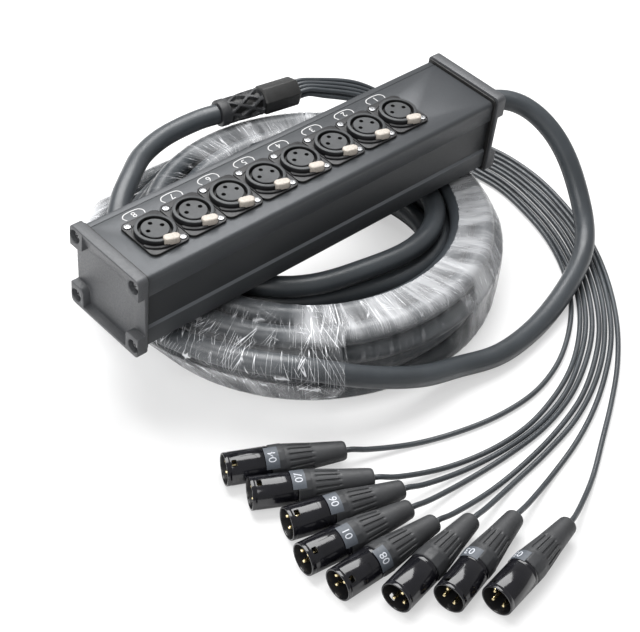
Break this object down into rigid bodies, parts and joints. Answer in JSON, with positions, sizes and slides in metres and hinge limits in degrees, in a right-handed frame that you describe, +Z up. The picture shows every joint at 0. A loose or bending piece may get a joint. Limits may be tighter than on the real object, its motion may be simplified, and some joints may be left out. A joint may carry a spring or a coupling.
{
  "type": "stage box snake",
  "caption": "Stage box with a row of panel sockets in an extruded case, lying on its coiled multicore cable, with a fan-out of tails ending in plugs.",
  "frame": {"origin": "on the surface the object stands on, under the middle of the box and its coil, the cords and what is on them left out", "axes": "+Z up; +X along the box towards the end the multicore leaves; +Y away from the plugs"},
  "size_m": [0.3584, 0.3928, 0.1108],
  "materials": {
    "anodised": "satin dark grey anodising",
    "cast": "matte dark grey coat on a casting",
    "gasket": "matte black",
    "screw": "bright plated",
    "socket": "satin black",
    "latch": "pale cream",
    "cord": "satin black jacket",
    "boot": "matte black",
    "plug_metal": "glossy black plating"
  },
  "bodies": {
    "stage_box": {"multicore_coil": "cord", "deck_lid": "anodised", "base_trough": "anodised", "gasket_right": "gasket", "gasket_left": "gasket", "end_cap_right": "cast", "end_cap_left": "cast", "cable_gland": "gasket", "multicore_to_box": "cord", "multicore_to_fan_out": "cord", "fan_out_relief": "boot", "fan_out_collar": "boot", "cap_screw_right_1": "screw", "cap_screw_right_2": "screw", "cap_screw_right_3": "screw", "cap_screw_right_4": "screw", "cap_screw_left_1": "screw", "cap_screw_left_2": "screw", "cap_screw_left_3": "screw", "cap_screw_left_4": "screw", "socket_1": "socket", "plug_shell_01": "plug_metal", "plug_boot_01": "boot", "tail_01": "cord", "socket_2": "socket", "plug_shell_02": "plug_metal", "plug_boot_02": "boot", "tail_02": "cord", "socket_3": "socket", "plug_shell_03": "plug_metal", "plug_boot_03": "boot", "tail_03": "cord", "socket_4": "socket", "plug_shell_04": "plug_metal", "plug_boot_04": "boot", "tail_04": "cord", "socket_5": "socket", "plug_shell_05": "plug_metal", "plug_boot_05": "boot", "tail_05": "cord", "socket_6": "socket", "plug_shell_06": "plug_metal", "plug_boot_06": "boot", "tail_06": "cord", "socket_7": "socket", "plug_shell_07": "plug_metal", "plug_boot_07": "boot", "tail_07": "cord", "socket_8": "socket", "plug_shell_08": "plug_metal", "plug_boot_08": "boot", "tail_08": "cord"},
    "latch_1": {"latch_tab_1": "latch"},
    "latch_2": {"latch_tab_2": "latch"},
    "latch_3": {"latch_tab_3": "latch"},
    "latch_4": {"latch_tab_4": "latch"},
    "latch_5": {"latch_tab_5": "latch"},
    "latch_6": {"latch_tab_6": "latch"},
    "latch_7": {"latch_tab_7": "latch"},
    "latch_8": {"latch_tab_8": "latch"}
  },
  "joints": [
    {"name": "latch_1_press", "type": "slide", "parent": "stage_box", "child": "latch_1", "axis": [0, 0, -1], "range_m": [0, 0.0016], "stiffness_N_per_m": 400},
    {"name": "latch_2_press", "type": "slide", "parent": "stage_box", "child": "latch_2", "axis": [0, 0, -1], "range_m": [0, 0.0016], "stiffness_N_per_m": 400},
    {"name": "latch_3_press", "type": "slide", "parent": "stage_box", "child": "latch_3", "axis": [0, 0, -1], "range_m": [0, 0.0016], "stiffness_N_per_m": 400},
    {"name": "latch_4_press", "type": "slide", "parent": "stage_box", "child": "latch_4", "axis": [0, 0, -1], "range_m": [0, 0.0016], "stiffness_N_per_m": 400},
    {"name": "latch_5_press", "type": "slide", "parent": "stage_box", "child": "latch_5", "axis": [0, 0, -1], "range_m": [0, 0.0016], "stiffness_N_per_m": 400},
    {"name": "latch_6_press", "type": "slide", "parent": "stage_box", "child": "latch_6", "axis": [0, 0, -1], "range_m": [0, 0.0016], "stiffness_N_per_m": 400},
    {"name": "latch_7_press", "type": "slide", "parent": "stage_box", "child": "latch_7", "axis": [0, 0, -1], "range_m": [0, 0.0016], "stiffness_N_per_m": 400},
    {"name": "latch_8_press", "type": "slide", "parent": "stage_box", "child": "latch_8", "axis": [0, 0, -1], "range_m": [0, 0.0016], "stiffness_N_per_m": 400}
  ]
}
